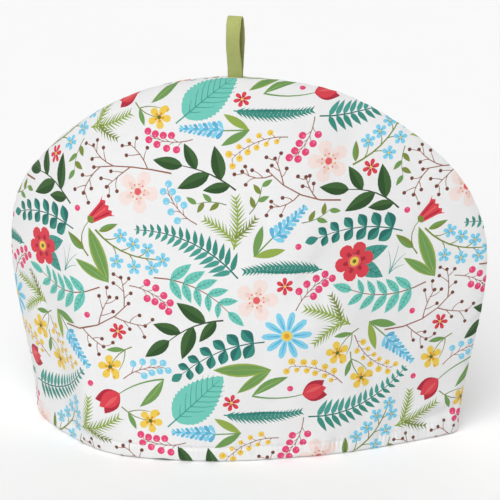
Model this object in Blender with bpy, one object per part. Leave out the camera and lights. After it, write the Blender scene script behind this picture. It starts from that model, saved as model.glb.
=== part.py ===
"""Tea cosy of printed, wadded cotton, standing open on its hem, with a hanging loop of tape in its top seam.

Metres, +Z up. X runs along the width and -Y is the front. The two panels meet in the seam plane Y = 0.
A maker cuts three pieces: the front panel, the back panel and the tape. Each is one object here.
"""

from math import asin, cos, degrees, exp, pi, radians, sin

import bmesh
import bpy
from mathutils import Vector

# Driving sizes of the standing cosy
SEAM_HEIGHT = 0.2495  # hem to the top of the seam
BELLY_HEIGHT = 0.125  # where the cosy is widest
BELLY_HALF = 0.167  # half of the width there
HEM_HALF = 0.153  # half of the width at the hem
PANEL_DEPTH = 0.070  # seam plane to the hem, half way along a panel
DOME_POWER = 2.03  # 2 would make the dome's outline an ellipse
DEPTH_FALL = 2.25  # how long a panel keeps its depth on the way up
DEPTH_ROUND = 0.65  # how roundly the depth then closes at the top
LENS_POWER = 1.65  # how slender the footprint's two ends are
FULLNESS_SKEW = 0.41  # both panels are fuller on the left than on the right

# Wall
WALL = 0.005  # two layers of cotton and the wadding between them
SEAM_WALL = 0.008  # the wall seen edge on at the seam, with its turned-in allowance
SEAM_GAP = 0.0003  # the panels lie this far apart in the seam plane
SEAM_PINCH = 0.0014  # the thread pulls the seam this far in
PINCH_REACH = 0.0035  # distance from the seam at which the pinch has faded
HEM_ROLL = 0.0013  # radius at which the cloth turns under at the hem
HEM_LINE = 0.010  # height of the hem's row of stitches
HEM_LINE_DENT = 0.0005
HEM_LINE_REACH = 0.0012

# Hanging loop
TAPE_WIDTH = 0.010
TAPE_THICKNESS = 0.001
TAPE_EDGE = 0.0003  # bevel of the tape's long edges
LOOP_RISE = 0.040  # seam to the top of the loop
LOOP_OPEN = 0.010  # how far the teardrop opens
LOOP_TURN = radians(-11)  # the loop is turned a little about its upright axis
LOOP_X = -0.006  # the loop stands a little left of the middle
TAPE_TUCK = 0.0055  # how far the tape's ends are sewn into the seam
TAPE_CLEARANCE = 0.0003

# Mesh density
ROWS = 24
COLUMNS = 28
LOOP_STEPS = 41  # an odd number leaves a level facet under the top of the loop

# Where the seam's outline leaves its smooth curve: side (-1 left, 1 right), place and reach in degrees of the way
# up (0 at the hem, 90 at the top), and the share by which the cosy is wider there
OUTLINE_BUMPS = (
    {"side": -1, "at": 43, "reach": 6, "wider": 0.012},
    {"side": -1, "at": 62, "reach": 12, "wider": -0.020},
    {"side": 1, "at": 62, "reach": 10, "wider": -0.028},
    {"side": 1, "at": 78, "reach": 6, "wider": 0.055},
)

# Soft folds of each panel: a line between two (x, z) points, its reach to either side, its height (a trough's is
# negative)
FRONT_FOLDS = (
    {"from": (-0.111, 0.200), "to": (-0.117, 0.150), "reach": 0.012, "height": -0.0014},
    {"from": (-0.137, 0.100), "to": (-0.126, 0.055), "reach": 0.014, "height": -0.0018},
    {"from": (0.045, 0.162), "to": (0.100, 0.155), "reach": 0.028, "height": -0.0020},
    {"from": (0.077, 0.230), "to": (0.078, 0.205), "reach": 0.008, "height": -0.0007},
    {"from": (0.068, 0.085), "to": (0.062, 0.045), "reach": 0.011, "height": -0.0014},
    {"from": (0.150, 0.020), "to": (0.118, 0.014), "reach": 0.005, "height": -0.0012},
    {"from": (0.150, 0.032), "to": (0.122, 0.028), "reach": 0.006, "height": 0.0010},
)
BACK_FOLDS = (
    {"from": (0.110, 0.190), "to": (0.116, 0.115), "reach": 0.014, "height": -0.0016},
    {"from": (-0.138, 0.034), "to": (-0.108, 0.018), "reach": 0.007, "height": -0.0012},
    {"from": (-0.045, 0.090), "to": (-0.055, 0.040), "reach": 0.014, "height": -0.0014},
)

COTTON = {"color": (0.83, 0.82, 0.85), "roughness": 0.85}
TAPE_GREEN = {"color": (0.36, 0.39, 0.14), "roughness": 0.75}


def clear_scene():
    for obj in list(bpy.data.objects):
        bpy.data.objects.remove(obj, do_unlink=True)


def cloth_material(name, look):
    material = bpy.data.materials.new(name)
    material.use_nodes = True
    shader = material.node_tree.nodes["Principled BSDF"]
    shader.inputs["Base Color"].default_value = (*look["color"], 1.0)
    shader.inputs["Roughness"].default_value = look["roughness"]
    shader.inputs["Metallic"].default_value = 0.0
    return material


def add_object(name, bm, material):
    bmesh.ops.recalc_face_normals(bm, faces=bm.faces)
    mesh = bpy.data.meshes.new(name)
    bm.to_mesh(mesh)
    bm.free()
    mesh.materials.append(material)
    mesh.shade_smooth()
    mesh.set_sharp_from_angle(angle=radians(50))
    obj = bpy.data.objects.new(name, mesh)
    bpy.context.scene.collection.objects.link(obj)
    return obj


def bell(distance, reach):
    return exp(-((distance / reach) ** 2))


def half_width(height, side, inset):
    """Half of the seam outline's width at a height, for a face that lies inset from the outside."""
    top = SEAM_HEIGHT - inset
    belly = BELLY_HALF - inset
    if height <= BELLY_HEIGHT:
        narrow = HEM_HALF - inset
        width = narrow + (belly - narrow) * (1 - cos(pi * height / BELLY_HEIGHT)) / 2
    else:
        rise = min((height - BELLY_HEIGHT) / (top - BELLY_HEIGHT), 1.0)
        width = belly * (1 - rise**DOME_POWER) ** (1 / DOME_POWER)
    way_up = degrees(asin(min(height / top, 1.0)))
    bumps = [bump for bump in OUTLINE_BUMPS if bump["side"] == side]
    return width * (1 + sum(bump["wider"] * bell(way_up - bump["at"], bump["reach"]) for bump in bumps))


def fold_offset(x, z, folds):
    """Sum of the folds' heights at a point of the panel. Each is a line with soft sides and soft ends."""
    total = 0.0
    for fold in folds:
        start, end = Vector(fold["from"]), Vector(fold["to"])
        along = end - start
        share = (Vector((x, z)) - start).dot(along) / along.length_squared
        nearest = start + along * min(max(share, 0.0), 1.0)
        total += fold["height"] * bell((Vector((x, z)) - nearest).length, fold["reach"])
    return total


def panel_point(height, angle, face_inset, depth_inset, folds):
    """(x, depth, z) on one face of a panel. The angle runs from -90 at the left seam to 90 at the right one."""
    across = sin(angle)
    side = -1 if across < 0 else 1
    x = half_width(height, side, face_inset) * across
    lift = max(1 - (height / (SEAM_HEIGHT - face_inset)) ** DEPTH_FALL, 0.0) ** DEPTH_ROUND
    lens = max(cos(angle), 0.0) ** LENS_POWER * (1 - FULLNESS_SKEW * across)
    depth = (PANEL_DEPTH - depth_inset) * lift * lens
    fade = 1 - bell(depth, 3 * PINCH_REACH)
    return Vector((x, SEAM_GAP / 2 + depth + fold_offset(x, height, folds) * fade, height))


def pinched(point):
    """The point pulled in towards the middle of the cosy where it lies near the seam."""
    pull = SEAM_PINCH * bell(point.y, PINCH_REACH)
    middle = Vector((0, point.y, min(point.z, BELLY_HEIGHT)))
    outwards = point - middle
    if outwards.length > pull:
        point = point - outwards.normalized() * pull
    return point


def row_heights(top):
    """Heights of the rows above the hem: close together at the row of stitches, then evenly up the dome."""
    low = [HEM_ROLL]
    low += [HEM_LINE + HEM_LINE_REACH * step for step in (-1, 0, 1)]
    rows = [top * sin(pi / 2 * step / ROWS) for step in range(2, ROWS)]
    return low + rows


def panel_face(front, outside, folds):
    """Rows of points of a panel's outer or inner face from the hem up, and the single point at its top."""
    face_inset = 0.0 if outside else SEAM_WALL
    depth_inset = 0.0 if outside else WALL
    top = SEAM_HEIGHT - face_inset
    angles = [pi * (step / COLUMNS - 0.5) for step in range(COLUMNS + 1)]
    roll = HEM_ROLL if outside else -HEM_ROLL

    def placed(point):
        if outside:
            point = pinched(point)
        return Vector((point.x, -point.y if front else point.y, point.z))

    rows = [[placed(panel_point(0.0, a, face_inset + roll, depth_inset + roll, folds)) for a in angles]]
    for height in row_heights(top):
        dent = HEM_LINE_DENT * bell(height - HEM_LINE, HEM_LINE_REACH) if outside else 0.0
        rows.append([placed(panel_point(height, a, face_inset, depth_inset + dent, folds)) for a in angles])
    return rows, placed(Vector((0, SEAM_GAP / 2, top)))


def strip(bm, first, second):
    """Quads between two rows of vertices."""
    for i in range(len(first) - 1):
        bm.faces.new((first[i], first[i + 1], second[i + 1], second[i]))


def panel(name, front, folds, material):
    """A closed shell: the outer and inner faces, the flat hem edge and the edge in the seam plane."""
    bm = bmesh.new()
    faces = []
    for outside in (True, False):
        rows, top = panel_face(front, outside, folds)
        grid = [[bm.verts.new(p) for p in row] for row in rows]
        pole = bm.verts.new(top)
        for lower, upper in zip(grid, grid[1:]):
            strip(bm, lower, upper)
        for a, b in zip(grid[-1], grid[-1][1:]):
            bm.faces.new((a, b, pole))
        faces.append((grid, pole))
    (outer, outer_pole), (inner, inner_pole) = faces
    strip(bm, outer[0], inner[0])
    for column in (0, -1):
        outer_edge = [row[column] for row in outer] + [outer_pole]
        inner_edge = [row[column] for row in inner] + [inner_pole]
        strip(bm, outer_edge, inner_edge)
    return add_object(name, bm, material)


def loop_path():
    """(across, up) of the tape's middle line, from the front end over the top to the back end."""
    rest = TAPE_THICKNESS / 2 + SEAM_GAP / 2
    foot = SEAM_HEIGHT - SEAM_PINCH
    path = [(-rest, foot - TAPE_TUCK)]
    for step in range(LOOP_STEPS + 1):
        turn = pi * step / LOOP_STEPS
        path.append((-cos(turn) * (rest + LOOP_OPEN * sin(turn)), foot + LOOP_RISE * sin(turn)))
    path.append((rest, foot - TAPE_TUCK))
    return [Vector(p) for p in path]


def tape_section():
    """(along the width, along the thickness) of the tape's cross-section, with its long edges bevelled."""
    w, t, e = TAPE_WIDTH / 2, TAPE_THICKNESS / 2, TAPE_EDGE
    quarter = [(w, t - e), (w - e, t)]
    top = quarter + [(-x, y) for x, y in reversed(quarter)]
    return top + [(-x, -y) for x, y in top]


def hanging_loop(name, material):
    """The tape, swept along its path and turned about the upright axis once it is clear of the seam."""
    bm = bmesh.new()
    path = loop_path()
    foot = SEAM_HEIGHT - SEAM_PINCH
    rings = []
    for i, here in enumerate(path):
        ahead = path[min(i + 1, len(path) - 1)] - path[max(i - 1, 0)]
        normal = Vector((ahead.y, -ahead.x)).normalized()
        share = min(max((here.y - foot) / (LOOP_RISE * 0.5), 0.0), 1.0)
        turn = LOOP_TURN * share * share * (3 - 2 * share)
        ring = []
        for width, thickness in tape_section():
            point = here + normal * thickness
            x = width * cos(turn) - point.x * sin(turn)
            y = width * sin(turn) + point.x * cos(turn)
            ring.append(bm.verts.new((LOOP_X + x, y, point.y)))
        rings.append(ring)
    for first, second in zip(rings, rings[1:]):
        strip(bm, first + first[:1], second + second[:1])
    bm.faces.new(rings[0])
    bm.faces.new(rings[-1])
    return add_object(name, bm, material)


def cut_tape_slot(panels):
    """Opens the seam where the tape's two ends are sewn in between the panels."""
    foot = SEAM_HEIGHT - SEAM_PINCH - TAPE_TUCK - TAPE_CLEARANCE
    head = SEAM_HEIGHT + SEAM_WALL
    width = TAPE_WIDTH + 2 * TAPE_CLEARANCE
    depth = 2 * TAPE_THICKNESS + SEAM_GAP + 2 * TAPE_CLEARANCE
    bm = bmesh.new()
    bmesh.ops.create_cube(bm, size=1.0)
    bmesh.ops.scale(bm, vec=(width, depth, head - foot), verts=bm.verts)
    bmesh.ops.translate(bm, vec=(LOOP_X, 0, (head + foot) / 2), verts=bm.verts)
    mesh = bpy.data.meshes.new("tape_slot")
    bm.to_mesh(mesh)
    bm.free()
    cutter = bpy.data.objects.new("tape_slot", mesh)
    bpy.context.scene.collection.objects.link(cutter)
    cutter.hide_render = True
    cutter.display_type = "WIRE"
    for obj in panels:
        cut = obj.modifiers.new("tape slot", "BOOLEAN")
        cut.operation = "DIFFERENCE"
        cut.object = cutter


def main():
    clear_scene()
    cotton = cloth_material("printed_cotton", COTTON)
    tape = cloth_material("tape", TAPE_GREEN)
    front = panel("front_panel", True, FRONT_FOLDS, cotton)
    back = panel("back_panel", False, BACK_FOLDS, cotton)
    cut_tape_slot((front, back))
    hanging_loop("hanging_loop", tape)


main()
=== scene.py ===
"""Looks of the tea cosy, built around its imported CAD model.

Each panel is one cloth: a printed outer skin that wraps the hem and turns up inside, a plain inner skin, and
the edge between them in the seam plane. The print is drawn flat in millimetres and laid on the panel by arc
length.
"""

from collections import namedtuple
from itertools import cycle
from math import cos, pi, radians, sin

import bmesh
import bpy
import numpy as np
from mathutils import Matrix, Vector
from mathutils.geometry import delaunay_2d_cdt


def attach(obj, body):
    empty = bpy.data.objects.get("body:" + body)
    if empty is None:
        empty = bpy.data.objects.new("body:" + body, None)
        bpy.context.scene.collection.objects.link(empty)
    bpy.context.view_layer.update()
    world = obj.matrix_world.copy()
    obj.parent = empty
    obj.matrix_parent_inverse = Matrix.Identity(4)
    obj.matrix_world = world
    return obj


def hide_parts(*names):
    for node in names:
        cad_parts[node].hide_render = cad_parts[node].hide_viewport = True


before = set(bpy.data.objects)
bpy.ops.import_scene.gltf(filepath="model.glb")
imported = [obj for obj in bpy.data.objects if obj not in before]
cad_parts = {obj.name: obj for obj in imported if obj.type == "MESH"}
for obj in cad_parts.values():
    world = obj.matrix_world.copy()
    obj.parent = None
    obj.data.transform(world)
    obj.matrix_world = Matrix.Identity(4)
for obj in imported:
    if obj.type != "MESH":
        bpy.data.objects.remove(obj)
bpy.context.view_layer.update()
MM = 0.001

# The panels' sizes, as in the CAD model
SEAM_HEIGHT = 0.2495
BELLY_HEIGHT = 0.125
BELLY_HALF = 0.167
HEM_HALF = 0.153
PANEL_DEPTH = 0.070
DOME_POWER = 2.03
DEPTH_FALL = 2.25
DEPTH_ROUND = 0.65
LENS_POWER = 1.65
FULLNESS_SKEW = 0.41
WALL = 0.005
SEAM_WALL = 0.008
SEAM_GAP = 0.0003
SEAM_PINCH = 0.0014
PINCH_REACH = 0.0035
HEM_LINE = 0.010
HEM_LINE_DENT = 0.0006
HEM_LINE_REACH = 0.0013
TAPE_WIDTH = 0.010
TAPE_THICKNESS = 0.001
LOOP_RISE = 0.040
LOOP_OPEN = 0.010
LOOP_TURN = radians(-11)
LOOP_X = -0.006
TAPE_TUCK = 0.0055

# Where the outline is wider or narrower: its side (-1 is left), degrees up it from 0 at the hem to 90 at the
# top, reach in degrees, and share wider
Bump = namedtuple("Bump", "side at reach wider")
OUTLINE_BUMPS = (
    Bump(-1, 43, 6, 0.012),
    Bump(-1, 62, 12, -0.020),
    Bump(1, 62, 10, -0.028),
    Bump(1, 78, 6, 0.055),
)

# Folds: a line between two (x, z) points, its reach to either side, its height (a trough's is negative)
Fold = namedtuple("Fold", "start end reach height")
FRONT_FOLDS = (
    Fold((-0.112, 0.185), (-0.097, 0.030), 0.017, 0.0072),
    Fold((0.042, 0.180), (0.052, 0.105), 0.038, 0.0066),
    Fold((0.066, 0.075), (0.080, 0.030), 0.030, 0.0042),
    Fold((-0.094, 0.020), (-0.080, -0.006), 0.028, 0.0045),
    Fold((-0.111, 0.210), (-0.117, 0.160), 0.012, -0.0018),
    Fold((-0.137, 0.100), (-0.126, 0.055), 0.014, -0.0022),
    Fold((-0.121, 0.048), (-0.115, 0.016), 0.012, -0.0028),
    Fold((0.072, 0.130), (0.130, 0.122), 0.028, -0.0032),
    Fold((0.077, 0.230), (0.078, 0.205), 0.008, -0.0009),
    Fold((0.068, 0.085), (0.062, 0.045), 0.011, -0.0018),
    Fold((0.151, 0.021), (0.126, 0.015), 0.0045, -0.0022),
    Fold((0.150, 0.031), (0.128, 0.026), 0.0060, 0.0014),
)
BACK_FOLDS = (
    Fold((0.110, 0.190), (0.116, 0.115), 0.014, -0.0016),
    Fold((-0.138, 0.034), (-0.108, 0.018), 0.007, -0.0012),
    Fold((-0.045, 0.090), (-0.055, 0.040), 0.014, -0.0014),
)

# What only the cloth and the tape have
TURN_UP = 0.0115  # height of the hem's turned-in edge inside
TURN_UP_SHARE = 1.12  # it stands 0.6 mm proud of the inner face, as a share of the wall
RIM_RADIUS = 0.0022  # the hem's underside is round
PUCKER_PITCH, PUCKER_DEPTH, PUCKER_REACH = 0.0085, 0.0003, 0.007  # along the seam
HEM_PULL, HEM_PULL_REACH = 0.00016, 0.0016  # how far each stitch of the hem pulls the cloth in
HEM_SWELL, HEM_SWELL_REACH, HEM_SWELL_DROP = 0.00015, 0.0042, 0.0015  # its swell between and below them
HEM_WAVE, HEM_WAVE_REACH = 0.00022, 0.009  # looser waves along the hem
HEM_CALM, WADDING_CALM = 0.004, 0.012  # these fade so near to the seam
WADDING_WAVES, WADDING_DEPTH = 14, 0.0004  # unevenness of the wadding under the cloth
CREASE_DEPTH = 0.0007
CREASES = 30  # soft creases left from folding and ironing
SWELL_HALF, SWELL_DEPTH = 0.0056, 0.005  # how far to each side, and how deep, the seam opens round the tape
SWELL_ROOM = 0.00012  # it opens this much wider than the tape
SWELL_START, SWELL_END = -0.0002, 0.0008  # over this rise above the top of the inner skin
LOOP_SLACK = 0.66  # the tape's loop is this much of the CAD model's opening
LOOP_CURL = radians(-9)  # and is turned this much further half way up
SEED = 9

# How finely the cloth is cut, in mm along it
GRID_STEP = 3.0  # between its mesh points
EDGE_ROWS = (0.6, 1.3, 2.2, 3.4, 5.0)  # inwards from its edge
HEM_ROWS = np.concatenate((np.arange(-4.8, 5.2, 0.6), (8, 10.5)))  # up from the underside of the hem
HEM_STEP = 2.4
STITCH_ROWS = (-6.4, -4.8, -3.4, -2.4, -1.6, -0.8, 0, 0.8, 1.6, 2.4, 3.4)  # up from the row of stitches
STITCH_PITCH, STITCH_LENGTH, THREAD_RADIUS = 3.2, 2.3, 0.15
STITCH_PROUD, STITCH_DIP = 0.06, 0.30  # its middle stands this much proud, and its ends lie this much deeper
OUTLINE_STEP, TURNED_EDGE_STEP = 1.5, 2.0
EDGE_CLEAR = 0.45  # least distance of other mesh points from its edge
MERGED = 0.4  # of the mesh points in a cell of this size, one is kept
INSIDE_ROWS = 7  # rows of the table that lays the print on a panel: on the turned-in edge,
RIM_ROWS = 25  # round the rim,
PATH_ROWS = 240  # and up the outside
PATH_COLUMNS = 181

# Places in the UV square, and what it spans in metres
UV_SPAN, TAPE_UV_SPAN = 0.7, 0.12
OUTER_UV, INNER_UV, EDGE_UV, CAP_UV = (0.27, 0.03), (0.27, 0.5), (0.75, 0.03), (0.5, 0.95)

# Colours, as sRGB from 0 to 255, seen in bright light. The cloth itself reflects the share DYE of them
DYE = 0.85
GROUND = (241, 241, 241)
INKS = {
    "fir": (50, 84, 45),
    "fir_light": (66, 102, 56),
    "bark_green": (62, 78, 56),
    "aqua": (116, 205, 189),
    "aqua_deep": (74, 158, 146),
    "teal": (58, 142, 128),
    "teal_deep": (40, 112, 104),
    "moss": (126, 142, 62),
    "moss_deep": (98, 116, 44),
    "lime": (150, 174, 78),
    "grass": (114, 157, 86),
    "grass_light": (156, 187, 112),
    "red": (223, 68, 81),
    "red_deep": (180, 44, 62),
    "coral": (232, 98, 100),
    "pink": (231, 72, 120),
    "pink_light": (242, 122, 158),
    "sky": (132, 211, 238),
    "sky_deep": (96, 180, 216),
    "sky_pale": (190, 226, 238),
    "yellow": (242, 206, 84),
    "yellow_deep": (226, 160, 48),
    "brown": (152, 98, 76),
    "brown_deep": (120, 70, 58),
    "peach": (247, 228, 222),
    "peach_deep": (242, 212, 204),
}
TAPE_GREENS = ((150, 156, 88), (182, 188, 118))

# The room: brightness in front of the cosy and behind it
ROOM_AHEAD, ROOM_BEHIND = 0.04, 1.42

# The camera, and its focal length in pixels of a picture 500 wide
CAMERA_TARGET, CAMERA_DISTANCE = Vector((0, 0, 0.125)), 1.015
CAMERA_AZIMUTH, CAMERA_ELEVATION = radians(8), radians(18)
CAMERA_SHIFT, FOCAL_PIXELS, PICTURE, SENSOR = (0.0112, 0.0066), 1471, 500, 36.0

# ---------------------------------------------------------------- shapes of the print: lists of (ink, points)


def turned(points, angle):
    c, s = cos(angle), sin(angle)
    return np.asarray(points) @ np.array(((c, s), (-s, c)))


def moved(shapes, at, angle=0.0, size=1.0):
    """The shapes scaled, turned and then moved to a place."""
    return [(ink, turned(points * size, angle) + at) for ink, points in shapes]


def ringed(shapes, count, start=0.0):
    """The shapes repeated round (0, 0)."""
    return [one for i in range(count) for one in moved(shapes, (0, 0), i * 2 * pi / count + start)]


def stem(length, bend, steps=7):
    """Points of a stem from (0, 0) along +X. It curves through the angle bend on the way."""
    headings = np.linspace(-bend / 2, bend / 2, steps - 1)
    legs = np.stack((np.cos(headings), np.sin(headings)), 1) * (length / (steps - 1))
    return np.concatenate((np.zeros((1, 2)), np.cumsum(legs, 0)))


def along(points, share):
    """(place, heading) at a share of the way along a stem."""
    step = share * (len(points) - 1)
    i = min(int(step), len(points) - 2)
    leg = points[i + 1] - points[i]
    return points[i] + leg * (step - i), np.arctan2(leg[1], leg[0])


def stroke(points, width, end=None):
    """A tapered line drawn along points."""
    points = np.asarray(points, float)
    end = width * 0.5 if end is None else end
    ahead = np.gradient(points, axis=0)
    side = np.stack((-ahead[:, 1], ahead[:, 0]), 1)
    side /= np.linalg.norm(side, axis=1)[:, None]
    half = np.linspace(width, end, len(points))[:, None] / 2
    return np.concatenate((points + side * half, (points - side * half)[::-1]))


PAIRS, BY_TURNS = ((1, -1),), ((1,), (-1,))


def branch(ink, main, width, shares, lean, draw, sides=PAIRS):
    """A stem, with what draw(share, side) gives at shares of the way along it and at an angle to it."""
    shapes = [(ink, stroke(main, *width))]
    for share, angle, group in zip(shares, np.broadcast_to(lean, len(shares)), cycle(sides)):
        place, heading = along(main, share)
        for side in group:
            shapes += moved(draw(share, side), place, heading + side * angle)
    return shapes


def leaf(length, width, fullest=0.42, bow=0.0, steps=7):
    """A leaf from (0, 0) to (length, 0), pointed at both ends and widest at the share fullest."""
    t = np.linspace(0, 1, steps + 1)
    half = width / 2 * np.sin(pi * t ** (np.log(0.5) / np.log(fullest))) ** 0.9
    middle = bow * width * np.sin(pi * t)
    upper = np.stack((length * t, middle + half), 1)
    lower = np.stack((length * t, middle - half), 1)
    return np.concatenate((upper, lower[-2:0:-1]))


def shaded(ink, shade, length, width, fullest=0.42, steps=7):
    """A leaf whose lower side is in another ink."""
    inner = leaf(length, width * 0.96, fullest, 0.0, steps)
    lower = np.concatenate((inner[:1], inner[steps:]))
    return [(ink, leaf(length, width, fullest, 0.0, steps)), (shade, lower)]


def veined(ink, vein, length, width):
    """A leaf with a middle rib and slanting veins."""
    shapes = [(ink, leaf(length, width)), (vein, stroke(((0, 0), (length * 0.9, 0)), 0.5, 0.25))]
    for share in np.linspace(0.16, 0.74, 4):
        reach = width * 0.36 * sin(pi * share**0.8)
        for side in (1, -1):
            tip = (length * share + reach, side * reach)
            shapes.append((vein, stroke(((length * share, 0), tip), 0.34, 0.2)))
    return shapes


def toothed_leaf(length, width, teeth):
    """A broad leaf whose edge has teeth that point forwards."""
    t = np.linspace(0.02, 1, 2 * teeth + 1)
    half = width / 2 * np.sin(pi * t**0.72) ** 0.8
    half[1::2] *= 0.9
    x = length * t
    x[2:-1:2] += length * 0.012
    upper = np.stack((x, half), 1)
    return np.concatenate((((0, 0),), upper, (upper * (1, -1))[-2::-1]))


def petal(length, width, steps=10):
    """A petal from (0, 0), narrow there and round at the far end."""
    turn = np.linspace(-pi, pi, steps, endpoint=False)
    x = length * (1 + np.cos(turn)) / 2
    return np.stack((x, width / 2 * np.sin(turn) * (x / length) ** 0.6), 1)


def dot(radius, at=(0, 0), sides=10):
    turn = np.linspace(0, 2 * pi, sides, endpoint=False) + 0.3
    return np.stack((radius * np.cos(turn), radius * np.sin(turn)), 1) + at


def stamens(inks, count, radius, out):
    """Dots in a ring round (0, 0)."""
    turns = [i * 2 * pi / count for i in range(count)]
    places = [(out * cos(turn), out * sin(turn)) for turn in turns]
    return [(ink, dot(radius, place, 5)) for ink, place in zip(cycle(inks), places)]


def round_flower(petals, length, width, ink, shade, eye, reach=0.45):
    """A flower seen face on: petals, a darker streak in each, and an eye."""
    whole = ringed([(ink, petal(length, width, 9))], petals, 0.3)
    streaks = ringed([(shade, petal(length * reach, width * 0.34, 9))], petals, 0.3)
    return whole + streaks + [(eye, dot(length * 0.17, sides=9))]


# ---------------------------------------------------------------- its motifs in mm, some varied by chance


def twig(rng, length=38, depth=2, width=0.75):
    """A bare twig that forks, with a bud at each tip."""
    main = stem(length, rng.uniform(-0.9, 0.9), 5)
    shapes = [("brown", stroke(main, width, width * 0.6)), ("brown_deep", dot(0.95, main[-1], 7))]
    for share, side in zip((0.3, 0.52, 0.74, 0.92) if depth else (), cycle((-1, 1))):
        place, heading = along(main, share)
        fork = twig(rng, length * rng.uniform(0.3, 0.46), depth - 1, width * 0.75)
        shapes += moved(fork, place, heading + side * rng.uniform(0.6, 0.95))
    return shapes


def laurel(rng):
    """Dark pointed leaves by turns along a short stem."""
    main = stem(30, rng.uniform(0.3, 0.7))
    lengths = {0.12: 14, 0.3: 18, 0.52: 18, 0.76: 15}

    def blade(share, side):
        return shaded("fir", "fir_light", lengths[share], lengths[share] * 0.4)

    tip = moved(shaded("fir", "fir_light", 16, 6.6), main[-1], 0.25)
    return branch("bark_green", main, (0.9,), lengths, 0.8, blade, BY_TURNS) + tip


def veined_branch(rng):
    """Aqua leaves with dark veins along a brown stem."""
    main = stem(46, -0.7)

    def blade(share, side):
        length = 15 - 6 * share + side
        return veined("aqua", "aqua_deep", length, length * 0.4)

    tip = moved(veined("aqua", "aqua_deep", 12, 5), main[-1], -0.35)
    return branch("brown", main, (0.8,), (0.2, 0.36, 0.52, 0.68, 0.84), 0.85, blade) + tip


def fern(rng):
    """Slender leaflets in pairs that grow shorter towards the tip."""
    def leaflet(share, side):
        length = 10.5 - 8.0 * share**1.3
        return [("aqua_deep" if side > 0 else "teal", leaf(length, 1.2 + length * 0.17, 0.35, 0.0, 5))]

    return branch("teal_deep", stem(60, 0.8, 9), (0.8,), np.linspace(0.08, 0.96, 15), 1.05, leaflet)


def needles(ink, length, count, reach, tilt, width):
    """A stem with pairs of needles, longest in the middle."""
    def needle(share, side):
        tip = (reach * (0.55 + 0.45 * sin(pi * share**0.7)), 0)
        return [(ink, np.array(((0, -width / 2), tip, (0, width / 2))))]

    return branch(ink, stem(length, 0.35, 5), (0.9,), np.linspace(0.06, 0.98, count), tilt, needle)


def fir_tips(rng):
    """Three green tips from one root."""
    return (needles("lime", 27, 12, 7.0, 0.75, 1.25)
            + moved(needles("lime", 19, 9, 6.0, 0.75, 1.25), (4, 0), 0.95)
            + moved(needles("moss", 15, 7, 5.0, 0.75, 1.2), (6, 0), -0.8))


def feather(rng):
    """A dense frond of short, broad blades."""
    return [("teal_deep", leaf(50, 2.2, 0.45, 0.0, 9))] + needles("teal", 52, 19, 7.5, 0.72, 2.3)


def round_branch(rng):
    """Pairs of oval leaves, shaded on one side."""
    main = stem(44, 0.55)

    def oval(share, side):
        length = 9.6 - 4 * share
        return shaded("teal", "teal_deep", length, length * 0.66, 0.55)

    tip = moved([("teal", leaf(7, 4.2, 0.55))], main[-1], 0.28)
    return branch("teal_deep", main, (0.7,), (0.12, 0.28, 0.44, 0.6, 0.76, 0.9), 0.95, oval) + tip


def berries(ink, shine, radius):
    """Berries on fine stalks to both sides of a stem."""
    def berry(share, side):
        stalk = stem(6.4 - 1.6 * share, 0.5 * side, 4)
        gleam = dot(radius * 0.3, stalk[-1] + (-0.25 * radius, 0.35 * radius), 6)
        return [("brown", stroke(stalk, 0.45)), (ink, dot(radius, stalk[-1], 11)), (shine, gleam)]

    shares = np.linspace(0.25, 1.0, 8)
    return branch("brown", stem(24, -0.6), (0.6,), shares, 0.95 - 0.5 * shares, berry, BY_TURNS)


def pink_berries(rng):
    return berries("pink", "pink_light", 2.2)


def blue_berries(rng):
    return berries("sky", "sky_pale", 2.0)


def mimosa(rng):
    """Yellow balls to each side of a stem by turns."""
    def ball(share, side):
        tip = np.array((3.6 + rng.uniform(-0.6, 0.6), 0))
        return [("brown", stroke(((0, 0), tip), 0.4)), ("yellow", dot(rng.uniform(1.4, 2.0), tip, 9)),
                ("yellow_deep", dot(0.55, tip - (0.5, 0), 6))]

    return branch("brown", stem(32, 0.8), (0.55,), np.linspace(0.12, 1.0, 11), 0.9, ball, BY_TURNS)


def tulip(rng):
    """A red cup of petals with a strap leaf."""
    main = stem(26, 0.45)
    cup = [("red_deep", turned(leaf(13.5, 7.5, 0.5), turn)) for turn in (0.34, -0.34)]
    cup += [("red", leaf(13, 9.0, 0.45)), ("coral", turned(leaf(9, 2.2, 0.5), 0.12) + (2, 0.6))]
    blade = [("grass", leaf(21, 4.8, 0.5, 0.25)), ("grass_light", stroke(((2, 0), (9, 0.9), (17, 0.6)), 0.5))]
    return [("grass", stroke(main, 1.0))] + moved(blade, (0, 0), 0.5) + moved(cup, main[-1], 0.22)


def open_flower(rng):
    """A round red flower seen face on, with two leaves behind it."""
    blade = veined("aqua_deep", "teal_deep", 19, 8.5)
    leaves = moved(blade, (0, 0), 2.6) + moved(blade, (0, 0), 3.5)
    petals = ringed([("red", petal(10.5, 10.0, 12))], 6, 0.2)
    petals += ringed([("red_deep", petal(6.4, 3.2, 8))], 6, 0.2)
    eye = [("coral", dot(3.6, sides=12)), ("yellow", dot(2.5, sides=10))]
    return leaves + petals + eye + stamens(("brown_deep",), 9, 0.42, 4.4) + [("moss_deep", dot(1.1, sides=8))]


def daisy(rng):
    """Narrow blue petals round a yellow eye."""
    one = [("sky", petal(12, 4.6, 10)), ("sky_deep", stroke(((3.5, 0), (9.5, 0)), 0.9, 0.3))]
    return ringed(one, 10) + [("yellow", dot(2.6, sides=12)), ("yellow_deep", dot(1.3, sides=8))]


def blossom(rng):
    """A pale flower, hardly darker than the ground, with a ring of stamens."""
    ring = stamens(("coral", "yellow_deep"), 10, 0.55, 4.0)
    return round_flower(5, 12, 11.0, "peach", "peach_deep", "coral", 0.62) + ring


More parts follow.
